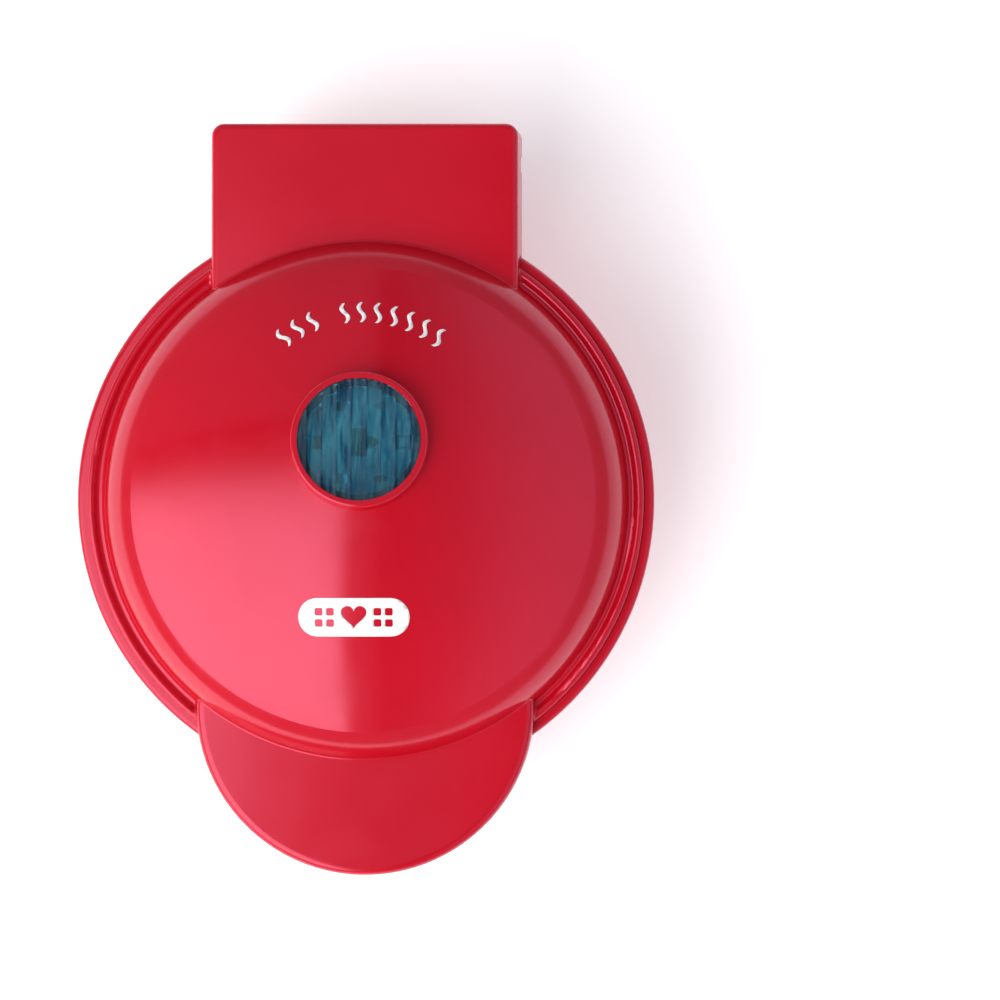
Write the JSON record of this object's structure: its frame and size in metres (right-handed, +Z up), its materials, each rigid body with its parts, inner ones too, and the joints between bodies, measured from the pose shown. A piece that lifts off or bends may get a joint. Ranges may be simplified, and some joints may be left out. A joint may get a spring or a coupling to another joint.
{
  "type": "waffle maker",
  "caption": "Compact round clamshell waffle maker with heart-shaped non-stick moulds, a hinged domed lid with a tab handle and an indicator window.",
  "frame": {"origin": "on the table under the centre of the round body, at the bottom of the feet", "axes": "+Z up, -Y towards the handle at the front, +Y towards the hinge and cord inlet at the back, +X to the user's right"},
  "size_m": [0.127, 0.1646, 0.0709],
  "materials": {
    "red_plastic": "glossy injection-moulded plastic",
    "nonstick": "dark non-stick coating on cast aluminium",
    "steel": "zinc plated steel",
    "element": "matt grey element sheath",
    "galvanised": "bright sheet metal",
    "lens": "tinted fluted lens",
    "white_plastic": "matt heat resistant plastic",
    "lamp": "neon lamp glass",
    "fuse": "bright metal case",
    "sleeve": "woven glass-fibre sleeve",
    "thermostat": "dark phenolic moulding",
    "ceramic": "unglazed ceramic",
    "brass": "brass",
    "rubber": "matt rubber",
    "black_plastic": "matt plastic"
  },
  "bodies": {
    "base": {"base_housing": "red_plastic", "bottom_cover": "black_plastic", "bottom_cover_screws": "steel", "lower_plate": "nonstick", "lower_plate_screws": "steel", "lower_heating_element": "element", "lower_element_clamps": "galvanised", "lower_heat_shield": "galvanised", "lower_shield_screws": "steel", "thermostat": "thermostat", "thermostat_bracket": "galvanised", "lower_leads": "sleeve", "terminal_block": "ceramic", "terminal_screws": "brass", "foot_front_left": "rubber", "foot_front_right": "rubber", "foot_rear_left": "rubber", "foot_rear_right": "rubber", "hinge_pin_left": "steel", "hinge_pin_right": "steel", "cord_gland": "black_plastic", "cord_clamp": "black_plastic"},
    "lid": {"lid_shell": "red_plastic", "lid_bezel": "red_plastic", "upper_plate": "nonstick", "upper_plate_screws": "steel", "lid_screws": "steel", "upper_heating_element": "element", "upper_element_clamps": "galvanised", "upper_heat_shield": "galvanised", "upper_shield_screws": "steel", "upper_thermal_fuse": "fuse", "upper_fuse_strap": "galvanised", "upper_leads": "sleeve", "lens": "lens", "lens_holder": "white_plastic", "indicator_lamp": "lamp"}
  },
  "joints": [
    {"name": "lid_hinge", "type": "hinge", "parent": "base", "child": "lid", "pos_m": [0, 0.074, 0.0398], "axis": [-1, 0, 0], "range_deg": [0, 95]}
  ]
}
